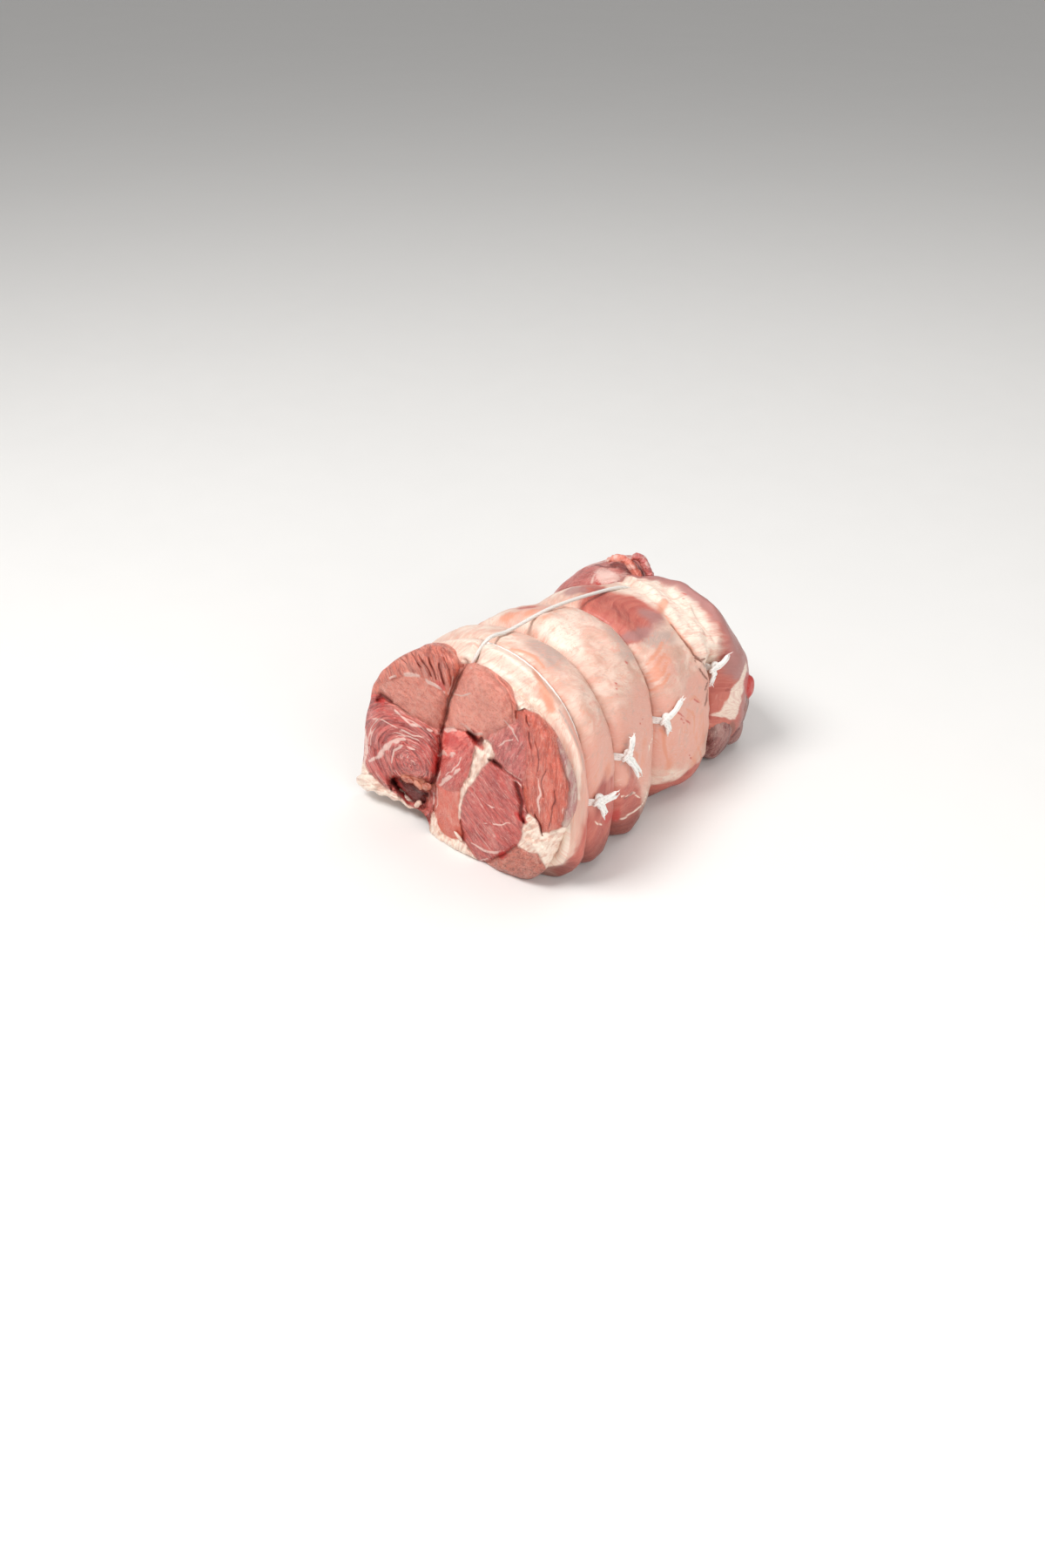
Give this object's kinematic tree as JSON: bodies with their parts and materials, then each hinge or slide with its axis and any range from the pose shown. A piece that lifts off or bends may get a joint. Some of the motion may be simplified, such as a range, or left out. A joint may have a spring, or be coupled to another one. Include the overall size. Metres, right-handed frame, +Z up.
{
  "type": "rolled lamb shoulder",
  "caption": "Raw boneless lamb shoulder, rolled with its fat outside and tied with twine loops and one lengthwise string, cut muscles showing at the front end",
  "frame": {"origin": "middle of the underside of the bounding box, on the surface the roll rests on", "axes": "+Z up; +Y along the roll, from the cut face at the front to the shank end; +X to the side that carries the knots"},
  "size_m": [0.1342, 0.1886, 0.1024],
  "materials": {
    "meat": "moist raw fat and muscle, soft sheen",
    "twine": "matt cotton twine"
  },
  "bodies": {
    "root": {"lamb_roll": "meat", "string_loop_1": "twine", "string_loop_2": "twine", "string_loop_3": "twine", "string_loop_4": "twine", "string_long": "twine"}
  },
  "joints": []
}
